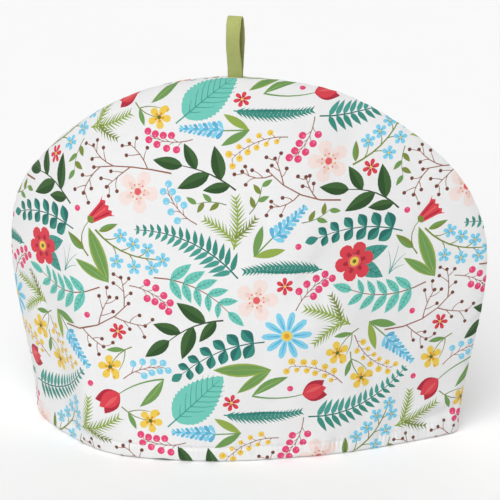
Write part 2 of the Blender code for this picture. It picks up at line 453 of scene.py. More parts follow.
def buttercup(rng):
    """A yellow flower and a bud on a forked stem."""
    main, side = stem(17, 0.6, 5), stem(12, -0.5, 5)
    shapes = [("moss", stroke(main, 0.7)), ("moss", turned(stroke(side, 0.6), 0.5) + main[1]),
              ("grass", turned(leaf(10, 2.8, 0.5), -0.7) + main[1])]
    shapes += moved(shaded("yellow", "yellow_deep", 5.5, 3.8, 0.6), turned(side[-1], 0.5) + main[1], 0.3)
    return shapes + moved(round_flower(5, 6.4, 5.6, "yellow", "yellow_deep", "moss_deep"), main[-1])


def bellflower(rng):
    """A red bell with a scalloped rim that hangs from an arched stem, with one leaf."""
    main = stem(20, -1.3, 6)
    rim = [(11.5 + (0.9, -0.5)[i % 2], across) for i, across in enumerate(np.linspace(-6.2, 6.2, 9))]
    flank = np.array(((1.2, -2.4), (5.5, -3.4), (9.0, -4.2)))
    cup = [("red", np.concatenate((((0, 0),), flank, rim, flank[::-1] * (1, -1))))]
    cup += [("red_deep", stroke(((2, 1.2 * side), (10.5, 3.0 * side)), 0.7, 1.1)) for side in (-1, 1)]
    cup += [("coral", stroke(((2, 0), (10.5, 0)), 0.6, 1.2)), ("moss", leaf(3.6, 4.6, 0.5) - (1.2, 0))]
    blade = moved(shaded("grass", "moss", 13, 4.2), main[1], 0.9)
    return [("moss", stroke(main, 0.8))] + blade + moved(cup, main[-1], -0.9)


def bloom_spike(rng):
    """Rings of blue drops round an upright stem, and two leaves at its foot."""
    shapes = [("grass", stroke(((0, 0), (15, 0.5), (32, 0)), 0.8))]
    shapes += [(ink, turned(leaf(15, 4.0, 0.5), angle)) for ink, angle in (("grass", 0.55), ("lime", -0.55))]
    for i, share in enumerate(np.linspace(0, 1, 9)):
        drop = petal(5.6 - 3.0 * share, 3.2 - 1.6 * share, 8)
        for side in (1, -1, 0):
            ink = ("sky", "sky_deep")[(i + (side > 0)) % 2]
            shapes.append((ink, turned(drop, side * (0.95 - 0.3 * share)) + (12 + 19 * share, 0)))
    return shapes


def forget_me_nots(rng):
    """Little blue flowers on the stalks of one branched stem, and one at its tip."""
    main = stem(34, 0.7)

    def flower(share, side):
        stalk = stem(10 - 4.5 * share, 0.5 * side, 4)
        bloom = moved(round_flower(5, 3.9, 3.4, "sky", "sky_deep", "yellow"), stalk[-1])
        return [("moss", stroke(stalk, 0.6))] + bloom

    shares = (0.2, 0.36, 0.5, 0.64, 0.78, 0.9, 1.0)
    blade = moved(shaded("grass", "moss", 11, 3.4), main[0] + (2, 0), 0.8)
    return branch("moss", main, (1.0, 0.6), shares, 0.85, flower, BY_TURNS * 3 + ((0,),)) + blade


def broad_leaf(rng):
    """One large toothed leaf with curved ribs."""
    shapes = [("aqua", toothed_leaf(38, 23, 15)), ("aqua_deep", stroke(((-6, 0), (35, 0)), 0.9, 0.3))]
    for share in np.linspace(0.1, 0.78, 7):
        foot, reach = 38 * share, 8.6 * sin(pi * share**0.75)
        for side in (1, -1):
            rib = ((foot, 0), (foot + reach * 0.65, side * reach * 0.65), (foot + reach * 1.15, side * reach))
            shapes.append(("aqua_deep", stroke(rib, 0.55, 0.25)))
    return shapes


def strap_leaves(rng):
    """Two long smooth leaves with a paler edge."""
    one = [("lime", leaf(31, 7.6, 0.5)), ("grass", leaf(29.5, 5.6, 0.5) + (0.7, 0)),
           ("grass_light", stroke(((3, 0), (26, 0)), 0.5, 0.2))]
    return one + moved(one, (0, 0), 0.62, 0.72)


def small_sprig(rng):
    """Leaves in two greens by turns along a thin stem."""
    def blade(share, side):
        return [("moss" if side > 0 else "grass", leaf(6.5, 2.8))]

    return branch("moss_deep", stem(16, 0.5, 5), (0.5,), (0.25, 0.5, 0.75, 1.0), 0.8, blade, BY_TURNS)


def small_flower(rng):
    return round_flower(6, 5.2, 3.6, "red", "red_deep", "yellow")


def grass_tuft(rng):
    """A few thin blades from one root."""
    return [("aqua_deep", turned(stroke(stem(length, bend, 5), 0.6, 0.2), angle))
            for length, bend, angle in ((15, 0.5, 0.5), (18, 0.2, 0.12), (16, -0.4, -0.3), (11, -0.6, -0.7))]


def lone_berry(rng):
    return [("pink", dot(2.1)), ("pink_light", dot(0.6, (-0.5, 0.7), 6))]


# ---------------------------------------------------------------- the repeat

# What is drawn, how often, how large, its main colour, and where it goes (see CROWDING)
Motif = namedtuple("Motif", "draw count size hue goes")
MOTIFS = (
    Motif(fern, 2, 1.3, "teal", "apart"),
    Motif(open_flower, 1, 1.3, "red", "apart"),
    Motif(broad_leaf, 1, 1.2, "aqua", "apart"),
    Motif(twig, 3, 1.45, "brown", "apart"),
    Motif(daisy, 1, 1.4, "blue", "apart"),
    Motif(laurel, 3, 1.3, "dark", "apart"),
    Motif(round_branch, 2, 1.35, "teal", "snug"),
    Motif(veined_branch, 2, 1.2, "aqua", "snug"),
    Motif(forget_me_nots, 2, 1.3, "blue", "snug"),
    Motif(strap_leaves, 2, 1.25, "lime", "snug"),
    Motif(fir_tips, 3, 1.25, "lime", "snug"),
    Motif(bloom_spike, 3, 1.4, "blue", "snug"),
    Motif(blossom, 3, 1.2, "peach", "snug"),
    Motif(pink_berries, 4, 1.15, "pink", "snug"),
    Motif(blue_berries, 2, 1.2, "blue", "snug"),
    Motif(tulip, 2, 1.3, "red", "snug"),
    Motif(mimosa, 3, 1.25, "yellow", "snug"),
    Motif(feather, 2, 1.0, "teal", "snug"),
    Motif(buttercup, 4, 1.3, "yellow", "snug"),
    Motif(bellflower, 2, 1.3, "red", "snug"),
    Motif(small_sprig, 5, 1.25, "lime", "gap"),
    Motif(small_flower, 4, 1.15, "red", "gap"),
    Motif(grass_tuft, 3, 1.1, "teal", "gap"),
    Motif(lone_berry, 5, 1.0, "pink", "gap"),
)
# A motif goes apart from all others, snug beside them or in a gap: how far in mm it heeds them, and how much
# it shuns them
Crowd = namedtuple("Crowd", "reach weight")
CROWDING = {"apart": Crowd(30.0, 1.0), "snug": Crowd(4.0, -0.8), "gap": Crowd(6.0, 1.0)}
ALIKE = Crowd(30.0, 0.8)  # the same for its own kind
SAME_HUE = 0.7  # and for its colour, as a share of that
CHANCE = 0.02  # how much of the choice of a place is left to chance
TILE = (223, 204)  # width and height of the repeat in mm
TURNS = 16  # directions a motif may have
TRIES = 5  # of them tried for each motif
CLEAR = 1.8  # least distance between motifs in mm


def inside_of(x, y, outline):
    """Whether points lie inside a closed outline."""
    hit = np.zeros(x.shape, bool)
    for (ax, ay), (bx, by) in zip(outline, np.roll(outline, -1, 0)):
        if ay != by:
            hit ^= ((ay > y) != (by > y)) & (x < (bx - ax) * (y - ay) / (by - ay) + ax)
    return hit


def off_line(x, y, start, end):
    """(distance of points from the line between two points, share of the way along it)."""
    (x0, y0), (x1, y1) = start, end
    dx, dy = x1 - x0, y1 - y0
    share = np.clip(((x - x0) * dx + (y - y0) * dy) / max(dx * dx + dy * dy, 1e-9), 0, 1)
    return np.hypot(x - x0 - share * dx, y - y0 - share * dy), share


def footprint(shapes):
    """A grid of the tile, one cell a mm, that is true wherever the shapes lie within CLEAR of it."""
    grid = np.zeros(TILE, bool)
    middle = np.array(TILE) // 2
    margin = int(np.ceil(CLEAR)) + 1
    for _, points in shapes:
        low = np.floor(points.min(0)).astype(int) - margin
        high = np.ceil(points.max(0)).astype(int) + margin
        x, y = np.meshgrid(np.arange(low[0], high[0]), np.arange(low[1], high[1]), indexing="ij")
        near = np.min([off_line(x, y, *ends)[0] for ends in zip(points, np.roll(points, -1, 0))], 0)
        hit = inside_of(x, y, points) | (near < CLEAR / 2)
        grid[(x[hit] + middle[0]) % TILE[0], (y[hit] + middle[1]) % TILE[1]] = True
    return grid


def blur(width):
    """Transform of a soft round spot, for blurring a map of the tile."""
    x, y = (np.minimum(np.arange(side), side - np.arange(side)) for side in TILE)
    return np.fft.rfft2(np.exp(-(x[:, None] ** 2 + y**2) / (2 * width**2)))


def lay_out(seed):
    """Shapes of one repeat. Like motifs and like colours keep away from each other."""
    rng = np.random.default_rng(seed)
    taken = np.zeros(TILE)
    middle = np.array(TILE) // 2
    hues = {motif.hue: np.zeros(TILE) for motif in MOTIFS}
    layout = []
    for motif in MOTIFS:
        crowding = CROWDING[motif.goes]
        kin = np.zeros(TILE)
        for _ in range(motif.count):
            shapes = moved(motif.draw(rng), (0, 0), 0.0, motif.size)
            corners = np.concatenate([points for _, points in shapes])
            shapes = moved(shapes, -(corners.min(0) + corners.max(0)) / 2)
            ground = np.fft.rfft2(taken)
            crowd = np.fft.irfft2(ground * blur(crowding.reach), TILE)
            alike = np.fft.irfft2(np.fft.rfft2(kin + SAME_HUE * hues[motif.hue]) * blur(ALIKE.reach), TILE)
            cost = crowding.weight * crowd / max(crowd.max(), 1e-9)
            cost = np.fft.rfft2(cost + ALIKE.weight * alike / max(alike.max(), 1e-9))
            options = []
            for turn in rng.permutation(TURNS)[:TRIES]:
                option = moved(shapes, (0, 0), 2 * pi * turn / TURNS)
                cover = footprint(option).astype(float)
                mask = np.fft.rfft2(cover).conj()
                price = np.fft.irfft2(cost * mask, TILE) / cover.sum() + CHANCE * rng.random(TILE)
                price[np.fft.irfft2(ground * mask, TILE) > 0.5] = np.inf
                at = np.unravel_index(np.argmin(price), TILE)
                options.append((price[at], at, option, cover))
            price, at, option, cover = min(options, key=lambda one: one[0])
            if price < np.inf:
                place = tuple((np.array(at) + middle) % TILE)
                taken += np.roll(cover, at, (0, 1))
                kin[place] += 1
                hues[motif.hue][place] += 1
                layout.append(moved(option, place))
    return layout


# ---------------------------------------------------------------- the panels' form


def unit(vectors):
    return vectors / np.maximum(np.linalg.norm(vectors, axis=-1, keepdims=True), 1e-12)


def way_along(points):
    """Length of the way from the first point to each."""
    return np.concatenate(((0,), np.cumsum(np.linalg.norm(np.diff(points, axis=0), axis=1))))


def bell(distance, reach):
    return np.exp(-((distance / reach) ** 2))


def smooth(value, start, end):
    """0 before start, 1 after end, and a smooth rise between them."""
    share = np.clip((value - start) / (end - start), 0, 1)
    return share * share * (3 - 2 * share)


def half_width(height, side, inset):
    """Half of the seam outline's width at a height, for a face that lies inset from the outside."""
    top, belly, narrow = SEAM_HEIGHT - inset, BELLY_HALF - inset, HEM_HALF - inset
    low = narrow + (belly - narrow) * (1 - np.cos(pi * height / BELLY_HEIGHT)) / 2
    rise = np.clip((height - BELLY_HEIGHT) / (top - BELLY_HEIGHT), 0, 1)
    high = belly * (1 - rise**DOME_POWER) ** (1 / DOME_POWER)
    way_up = np.degrees(np.arcsin(np.clip(height / top, 0, 1)))
    wider = sum((side == bump.side) * bump.wider * bell(way_up - bump.at, bump.reach)
                for bump in OUTLINE_BUMPS)
    return np.where(height <= BELLY_HEIGHT, low, high) * (1 + wider)


def fold_offset(x, z, folds):
    return sum(fold.height * bell(off_line(x, z, fold.start, fold.end)[0], fold.reach) for fold in folds)


def panel_face(height, angle, outside, folds):
    """Points (x, depth, z) of a panel's outer or inner face. The angle is -pi / 2 at its left seam."""
    inset = 0.0 if outside else SEAM_WALL
    wall = HEM_LINE_DENT * bell(height - HEM_LINE, HEM_LINE_REACH) if outside else WALL
    across = np.sin(angle)
    x = half_width(height, np.where(across < 0, -1, 1), inset) * across
    lift = np.clip(1 - np.clip(height / (SEAM_HEIGHT - inset), 0, 1) ** DEPTH_FALL, 0, 1) ** DEPTH_ROUND
    lens = np.clip(np.cos(angle), 0, 1) ** LENS_POWER * (1 - FULLNESS_SKEW * across)
    depth = (PANEL_DEPTH - wall) * lift * lens
    fade = 1 - bell(depth, 1.3 * PINCH_REACH)
    points = np.stack((x, SEAM_GAP / 2 + depth + fold_offset(x, height, folds) * fade, height), -1)
    if outside:  # the seam's thread pulls the edge in
        middle = np.stack((0 * x, points[..., 1], np.minimum(height, BELLY_HEIGHT)), -1)
        outwards = points - middle
        reach = np.linalg.norm(outwards, axis=-1, keepdims=True)
        pull = SEAM_PINCH * bell(points[..., 1:2], PINCH_REACH)
        points = points - outwards / np.maximum(reach, 1e-9) * np.minimum(pull, reach)
    return points


def through_wall(height, angle, share, folds):
    """Points of a panel at a share of the way from its outer face (0) to its inner one (1)."""
    share = np.asarray(share)[..., None]
    outer, inner = (panel_face(height, angle, outside, folds) for outside in (True, False))
    return outer * (1 - share) + inner * share


class ClothMap:
    """Places on a panel's printed cloth, in mm: p across from its middle, q up from the hem's underside."""

    def __init__(self, folds):
        self.folds = folds
        turn = np.linspace(0, pi, RIM_ROWS)
        inside = np.linspace(TURN_UP, RIM_RADIUS, INSIDE_ROWS + 1)[:-1]
        rise = np.sin(np.linspace(0, pi / 2, PATH_ROWS))[1:]
        outside = RIM_RADIUS + (SEAM_HEIGHT - RIM_RADIUS) * rise
        self.height = np.concatenate((inside, RIM_RADIUS * (1 - np.sin(turn)), outside))
        rim_share = TURN_UP_SHARE * (1 + np.cos(turn)) / 2
        self.share = np.concatenate((np.full(INSIDE_ROWS, TURN_UP_SHARE), rim_share, np.zeros(PATH_ROWS - 1)))
        self.angles = np.linspace(-pi / 2, pi / 2, PATH_COLUMNS)
        grids = np.broadcast_arrays(self.height[:, None], self.angles, self.share[:, None])
        rows = through_wall(*grids, folds) / MM
        steps = np.linalg.norm(np.diff(rows, axis=1), axis=2)
        across = np.concatenate((np.zeros((len(rows), 1)), np.cumsum(steps, 1)), 1)
        self.p = across - across[:, PATH_COLUMNS // 2, None]
        up = way_along(rows[:, PATH_COLUMNS // 2])
        self.q = up - up[INSIDE_ROWS + RIM_ROWS // 2]

    def q_at(self, height):
        """q of a height on the outer face."""
        outer = self.share == 0
        return float(np.interp(height, self.height[outer], self.q[outer]))

    def base(self, p, q):
        """Points at places (p, q), before the fine relief."""
        row = np.interp(q, self.q, np.arange(len(self.q)))
        first = np.minimum(row.astype(int), len(self.q) - 2)
        part = (row - first)[:, None]
        across = self.p[first] * (1 - part) + self.p[first + 1] * part
        column = np.clip((across <= p[:, None]).sum(1) - 1, 0, PATH_COLUMNS - 2)
        each = np.arange(len(p))
        before, after = across[each, column], across[each, column + 1]
        share = np.clip((p - before) / np.maximum(after - before, 1e-9), 0, 1)
        angle = self.angles[column] + share * (self.angles[1] - self.angles[0])
        angle = np.where(np.abs(angle) > radians(89.5), np.sign(angle) * pi / 2, angle)
        height = np.interp(row, np.arange(len(self.q)), self.height)
        through = np.interp(row, np.arange(len(self.q)), self.share)
        return through_wall(height, angle, through, self.folds)

    def relief(self, p, q, points):
        """Fine height over the base form: puckers along seam and hem, uneven wadding and soft creases."""
        x, depth, z = points.T
        way = np.arctan2(z, x) * BELLY_HALF
        wander = 0.9 * np.sin(way * 61) + 0.7 * np.sin(way * 143 + 1)
        ripple = 0.5 - 0.5 * np.cos(2 * pi * way / PUCKER_PITCH + wander)
        seam = -PUCKER_DEPTH * bell(depth, PUCKER_REACH) * ripple
        low = smooth(z, 0, 0.004) * (q > 0)
        clear = low * (1 - bell(depth, HEM_CALM))
        beat = 2 * pi * p / STITCH_PITCH
        hem = -HEM_PULL * bell(z - HEM_LINE, HEM_PULL_REACH) * (0.5 + 0.5 * np.cos(beat)) * low
        swell = np.cos(beat + 0.8 * np.sin(p / 17)) * (1 + 0.5 * np.sin(p / 5.3))
        hem += HEM_SWELL * bell(z - HEM_LINE + HEM_SWELL_DROP, HEM_SWELL_REACH) * clear * swell
        hem += HEM_WAVE * bell(z - HEM_LINE, HEM_WAVE_REACH) * clear * np.sin(p / 2.1 + 1.3 * np.sin(p / 9))
        rng = np.random.default_rng(SEED)
        uneven = np.zeros(len(x))
        for _ in range(WADDING_WAVES):
            wave, turn, phase = rng.uniform(26, 80), rng.uniform(0, pi), rng.uniform(0, 2 * pi)
            uneven += np.sin(2 * pi * (p * cos(turn) + q * sin(turn)) / wave + phase)
        uneven *= WADDING_DEPTH / 3 * (1 - bell(depth, WADDING_CALM)) * low
        for _ in range(CREASES):
            middle = rng.uniform((-160, 5), (160, 265))
            turn, half = rng.normal(pi / 2, 0.6), rng.uniform(8, 28)
            ahead = np.array((cos(turn), sin(turn))) * half
            away, share = off_line(p, q, middle - ahead, middle + ahead)
            crease = rng.uniform(-1, 0.6) * CREASE_DEPTH * bell(away, rng.uniform(2.5, 5.0))
            uneven += crease * (1 - (2 * share - 1) ** 2) * low
        return seam + hem + uneven

    def swelled(self, points):
        """The points with the seam opened round the ends of the tape."""
        x, depth, z = points.T
        beside = 1 - smooth(np.abs(x - LOOP_X), SWELL_HALF, 2 * SWELL_HALF)
        above = smooth(z, SEAM_HEIGHT - SEAM_WALL + SWELL_START, SEAM_HEIGHT - SEAM_WALL + SWELL_END)
        lift = (TAPE_THICKNESS + SWELL_ROOM) * beside * above * bell(depth, SWELL_DEPTH)
        return points + np.stack((0 * x, lift, 0 * x), 1)

    def surface(self, p, q, step=0.35):
        """(points, outward normals) of the finished cloth at places (p, q)."""
        centre = self.base(p, q)

        def neighbour(dp, dq):
            q1 = np.clip(q + dq, self.q[0], self.q[-1] - 0.02)
            left, right = (np.interp(q1, self.q, self.p[:, end]) for end in (0, -1))
            p1 = np.clip(p + dp, left, right)
            points = self.base(p1, q1)
            return self.swelled(points), self.relief(p1, q1, points)

        (east, east_h), (west, west_h) = neighbour(step, 0), neighbour(-step, 0)
        (north, north_h), (south, south_h) = neighbour(0, step), neighbour(0, -step)
        along_p, along_q = east - west, north - south
        normal = unit(np.cross(along_q, along_p))
        finished = self.swelled(centre) + normal * self.relief(p, q, centre)[:, None]
        along_p = along_p + normal * (east_h - west_h)[:, None]
        along_q = along_q + normal * (north_h - south_h)[:, None]
        return finished, unit(np.cross(along_q, along_p))


# ---------------------------------------------------------------- cutting the cloth


def resampled(line, step):
    """Points a step apart along a line, with both of its ends."""
    line = np.asarray(line)
    way = way_along(line)
    at = np.linspace(0, way[-1], max(int(round(way[-1] / step)), 1) + 1)
    return np.stack([np.interp(at, way, line[:, i]) for i in range(2)], 1)


def flat_outline(cloth):
    """The panel's flat cut: up the right seam from the hem, down the left one and back along the hem."""
    right, left = (resampled(np.stack((cloth.p[:, end], cloth.q), 1), OUTLINE_STEP) for end in (-1, 0))
    left = left[::-1]
    right[-1] = left[0] = (0, cloth.q[-1])
    hem = resampled((left[-1], right[0]), TURNED_EDGE_STEP)
    return np.concatenate((right, left[1:], hem[1:-1]))


def mesh_points(cloth, outline):
    """Where the flat cloth needs mesh points: an even grid, close rows beside its edges, round the hem and
    along the row of stitches."""
    low, high = outline.min(0), outline.max(0)
    x, y = np.meshgrid(np.arange(low[0], high[0], GRID_STEP), np.arange(low[1], high[1], GRID_STEP * 0.87))
    x = x + (np.arange(len(x)) % 2)[:, None] * GRID_STEP / 2
    groups = [np.stack((x.ravel(), y.ravel()), 1)]
    ahead = np.roll(outline, -1, 0) - np.roll(outline, 1, 0)
    inwards = unit(np.stack((-ahead[:, 1], ahead[:, 0]), 1))
    groups += [outline + inwards * offset for offset in EDGE_ROWS]
    half = (high[0] - low[0]) / 2
    stitch_rows = cloth.q_at(HEM_LINE) + np.array(STITCH_ROWS)
    for step, levels in ((HEM_STEP, HEM_ROWS), (STITCH_PITCH / 4, stitch_rows)):
        across = np.arange(-half, half, step)
        groups += [np.stack((across, np.full(len(across), level)), 1) for level in levels]
    points = np.concatenate(groups)
    points = points[inside_of(*points.T, outline)]
    near = np.min([np.abs(points - corner).max(1) for corner in outline], 0)
    points = points[near > EDGE_CLEAR]
    cells = np.unique(np.round(points / MERGED).astype(int), axis=0, return_index=True)[1]
    return points[np.sort(cells)]


def area_of(outline):
    """Area in an outline, negative where it runs clockwise."""
    x, y = outline.T
    return float((x * np.roll(y, -1) - y * np.roll(x, -1)).sum() / 2)


def cut_cloth(cloth, outline, layout, shift):
    """The flat cloth as (places, triangles, ink of each triangle or None)."""
    polygons, inks = [outline], [None]
    low, high = outline.min(0) - 1, outline.max(0) + 1
    columns, levels = (range(int(low[i] // TILE[i]) - 1, int(high[i] // TILE[i]) + 2) for i in range(2))
    for column in columns:
        for level in levels:
            for ink, shape in (one for motif in layout for one in motif):
                at = shape + (column * TILE[0] + shift[0], level * TILE[1] + shift[1])
                if (at.min(0) < high).all() and (at.max(0) > low).all():
                    polygons.append(at if area_of(at) > 0 else at[::-1])
                    inks.append(ink)
    corners = np.concatenate((*polygons, mesh_points(cloth, outline)))
    ends = np.cumsum([len(polygon) for polygon in polygons])
    faces = [list(range(end - len(polygon), end)) for end, polygon in zip(ends, polygons)]
    found = delaunay_2d_cdt([Vector(c) for c in corners], [], faces, 0, 1e-4, True)
    kept = [(face, max(ids)) for face, ids in zip(found[2], found[5]) if 0 in ids]
    places, triangles = np.array([tuple(v) for v in found[0]]), np.array([face for face, _ in kept])
    return places, triangles, [inks[i] for _, i in kept]


def border(cloth, places, triangles):
    """The outer skin's border vertices: along its turned-in edge from the left, and along the seam from that
    edge's right end over the top to its left one."""
    pairs = {pair: True for a, b, c in triangles for pair in ((a, b), (b, c), (c, a))}
    after = {a: b for a, b in pairs if (b, a) not in pairs}
    low = cloth.q[0] + 1e-3
    hem = sorted((i for i in after if places[i, 1] < low), key=lambda i: places[i, 0])
    if places[after[hem[-1]], 1] < low:
        after = {b: a for a, b in after.items()}
    seam = [hem[-1]]
    while seam[-1] != hem[0]:
        seam.append(after[seam[-1]])
    return hem, seam


def zipped(first, second, first_at, second_at):
    """Triangles between two chains of vertices, whose places along the way are given."""
    triangles, i, j = [], 0, 0
    while i < len(first) - 1 or j < len(second) - 1:
        if j == len(second) - 1 or (i < len(first) - 1 and first_at[i + 1] <= second_at[j + 1]):
            triangles.append((first[i], first[i + 1], second[j]))
            i += 1
        else:
            triangles.append((first[i], second[j + 1], second[j]))
            j += 1
    return triangles


def inner_skin(cloth, rows=44, columns=72, gap=0.0004):
    """Grids of points and normals of the plain inside, from the turned-in edge up, and its top point."""
    top = SEAM_HEIGHT - SEAM_WALL
    start = TURN_UP + gap
    heights = start + (top - start) * np.sin(np.linspace(0, pi / 2, rows + 1))[:-1]
    z, a = np.meshgrid(heights, np.linspace(-pi / 2, pi / 2, columns + 1), indexing="ij")
    grid = panel_face(z, a, False, cloth.folds)
    pole = np.array((0, SEAM_GAP / 2, top))
    whole = np.concatenate((grid, np.broadcast_to(pole, (1, columns + 1, 3))))
    normals = -unit(np.cross(np.gradient(whole, axis=0), np.gradient(whole, axis=1)))[:-1]
    return grid, normals, pole


def inner_faces(index, pole):
    """The inner skin's quads, and its triangles up to the top point."""
    rows = zip(index[:-1], index[1:])
    quads = [quad for low, high in rows for quad in zip(low[:-1], low[1:], high[1:], high[:-1])]
    return quads + [(a, b, pole) for a, b in zip(index[-1, :-1], index[-1, 1:])]


def seam_edge(loop, half=0.013, columns=27, rows=6, rise=0.0008):
    """(extra points, triangles) that close the panel in the seam plane, with more points round the tape."""
    heights = SEAM_HEIGHT - SEAM_WALL + np.arange(1, rows + 1) * rise
    x, z = np.meshgrid(LOOP_X + np.linspace(-half, half, columns), heights)
    flat = loop[:, (0, 2)] / MM
    corners = np.concatenate((flat, np.stack((x.ravel(), z.ravel()), 1) / MM))
    found = delaunay_2d_cdt([Vector(c) for c in corners], [], [list(range(len(flat)))], 0, 1e-5, True)
    ids, new = {}, []
    for i, (place, origins) in enumerate(zip(found[0], found[3])):
        known = [o for o in origins if o < len(flat)]
        ids[i] = known[0] if known else len(flat) + len(new)
        if not known:
            new.append((place[0] * MM, SEAM_GAP / 2, place[1] * MM))
    triangles = [tuple(ids[v] for v in face) for face, origins in zip(found[2], found[5]) if origins]
    return np.array(new).reshape(-1, 3), triangles


# ---------------------------------------------------------------- meshes


def linear(rgb):
    """Linear colour of an sRGB one from 0 to 255."""
    value = np.asarray(rgb, float) / 255
    return np.where(value <= 0.04045, value / 12.92, ((value + 0.055) / 1.055) ** 2.4)


def make_object(name, points, faces, material):
    mesh = bpy.data.meshes.new(name)
    mesh.from_pydata([tuple(p) for p in points], [], [tuple(int(i) for i in f) for f in faces])
    mesh.materials.append(material)
    mesh.shade_smooth()
    mesh.validate()
    obj = bpy.data.objects.new(name, mesh)
    bpy.context.scene.collection.objects.link(obj)
    return obj


def face_outwards(mesh):
    bm = bmesh.new()
    bm.from_mesh(mesh)
    bmesh.ops.recalc_face_normals(bm, faces=bm.faces)
    bm.to_mesh(mesh)
    bm.free()


def lay_uv(mesh, corner_uv):
    layer = mesh.uv_layers.new(name="OFBake")
    layer.data.foreach_set("uv", np.ascontiguousarray(corner_uv, dtype=np.float32).ravel())


def tube_faces(index):
    """Quads between rings of vertices, and a cap at each end."""
    quads = [
        (a[i], a[(i + 1) % len(a)], b[(i + 1) % len(a)], b[i])
        for a, b in zip(index[:-1], index[1:])
        for i in range(len(a))
    ]
    return quads + [tuple(index[0][::-1]), tuple(index[-1])]


def lay_print(mesh, inks, sizes):
    """The print as corner colours, with alpha 1 where there is ink. Faces past the listed ones are plain."""
    colours = {ink: (*linear(rgb) * DYE, 1.0) for ink, rgb in INKS.items()}
    colours[None] = (*linear(GROUND) * DYE, 0.0)
    face_colour = np.array([colours[ink] for ink in inks + [None] * (len(sizes) - len(inks))])
    attribute = mesh.color_attributes.new("Print", "FLOAT_COLOR", "CORNER")
    attribute.data.foreach_set("color", np.repeat(face_colour, sizes, 0).astype(np.float32).ravel())


def panel_uv(points, places, grid, pole):
    """UV places of the mesh points on the two skins, and on the seam's edge."""
    across = np.append(grid[..., 0], 0.0)
    up = np.append(grid[..., 2] + 0.25 * (PANEL_DEPTH - grid[..., 1]), pole[2])
    outer = places * MM / UV_SPAN + OUTER_UV
    inner = np.stack((across, up), 1) / UV_SPAN + INNER_UV
    skins = np.zeros((len(points), 2))
    skins[: len(outer) + len(inner)] = np.concatenate((outer, inner))
    return skins, points[:, (0, 2)] / UV_SPAN + EDGE_UV


def mirrored(panel):
    """Both panels are made as the back one. These factors turn one into the front."""
    return np.array((1, -1, 1) if panel.front else (1, 1, 1))


def panel_cloth(panel, layout, material):
    """One panel as a closed cloth: (object, map of its cloth, flat area)."""
    cloth = ClothMap(panel.folds)
    outline = flat_outline(cloth)
    places, triangles, inks = cut_cloth(cloth, outline, layout, panel.shift)
    skin, skin_normals = cloth.surface(*places.T)
    grid, grid_normals, pole = inner_skin(cloth)
    pole_at = len(skin) + grid[..., 0].size
    index = np.arange(len(skin), pole_at).reshape(grid.shape[:2])
    points = np.concatenate((skin, grid.reshape(-1, 3), pole[None]))
    hem, seam = border(cloth, places, triangles)
    bridge = zipped(hem, list(index[0]), skin[hem, 0], grid[0, :, 0])
    loop = seam + list(index[:, 0]) + [pole_at] + list(index[::-1, -1])
    extra, edge = seam_edge(points[loop])
    lookup = np.concatenate((loop, len(points) + np.arange(len(extra)))).astype(int)
    edge = [tuple(lookup[i] for i in face) for face in edge]
    inner_seam = loop[len(seam):]
    points[inner_seam] = cloth.swelled(points[inner_seam])
    points = np.concatenate((points, cloth.swelled(extra)))
    seam_normal, pole_normal = (0, -1.0, 0), (0, -0.3, -1)
    extra_normals = np.tile(seam_normal, (len(extra), 1))
    normals = (skin_normals, grid_normals.reshape(-1, 3), (pole_normal,), extra_normals)

    mirror = mirrored(panel)
    faces = [tuple(t) for t in triangles] + inner_faces(index, pole_at) + bridge + edge
    obj = make_object(panel.node + "_cloth", points * mirror, faces, material)
    mesh = obj.data
    face_outwards(mesh)
    vertex = np.empty(len(mesh.loops), np.int32)
    mesh.loops.foreach_get("vertex_index", vertex)
    sizes = np.empty(len(mesh.polygons), np.int32)
    mesh.polygons.foreach_get("loop_total", sizes)
    on_edge = np.repeat(np.arange(len(sizes)) >= len(sizes) - len(edge), sizes)[:, None]
    lay_print(mesh, inks, sizes)
    skins_uv, edge_uv = panel_uv(points, places, grid, pole)
    lay_uv(mesh, np.where(on_edge, edge_uv[vertex], skins_uv[vertex]))
    split = np.where(on_edge, seam_normal, np.concatenate(normals)[vertex]) * mirror
    mesh.normals_split_custom_set([tuple(n) for n in unit(split)])
    return obj, cloth, area_of(outline) * MM * MM


def stitches(panel, cloth, material):
    """The hem's row of stitches as one mesh of short, sunk threads."""
    steps, sides, covered = 7, 6, 0.98
    level = cloth.q_at(HEM_LINE)
    half = covered * min(-np.interp(level, cloth.q, cloth.p[:, 0]), np.interp(level, cloth.q, cloth.p[:, -1]))
    starts = np.arange(-np.floor(half / STITCH_PITCH), np.floor(half / STITCH_PITCH) + 1) * STITCH_PITCH
    share = np.linspace(-1, 1, steps)
    p = (starts[:, None] + STITCH_PITCH / 2 + share * STITCH_LENGTH / 2).ravel()
    q = np.full(len(p), level) + 0.12 * np.sin(p * 0.7)
    points, normals = cloth.surface(p, q)
    proud = np.tile(STITCH_PROUD - STITCH_DIP * share**4, len(starts))[:, None] * MM
    middle = (points + normals * proud).reshape(len(starts), steps, 3)
    ahead = unit(np.gradient(middle, axis=1))
    up = unit(normals.reshape(middle.shape))
    beside = np.cross(ahead, up)
    turn = np.linspace(0, 2 * pi, sides, endpoint=False)[:, None]
    thick = THREAD_RADIUS * MM * (1 - 0.55 * np.abs(share) ** 3)[:, None, None]
    rings = middle[:, :, None] + thick * (np.cos(turn) * beside[:, :, None] + np.sin(turn) * up[:, :, None])
    index = np.arange(rings.size // 3).reshape(len(starts), steps, sides)
    faces = [face for stitch in index for face in tube_faces(stitch)]
    if panel.front:
        faces = [face[::-1] for face in faces]
    return make_object(panel.node + "_stitches", rings.reshape(-1, 3) * mirrored(panel), faces, material)


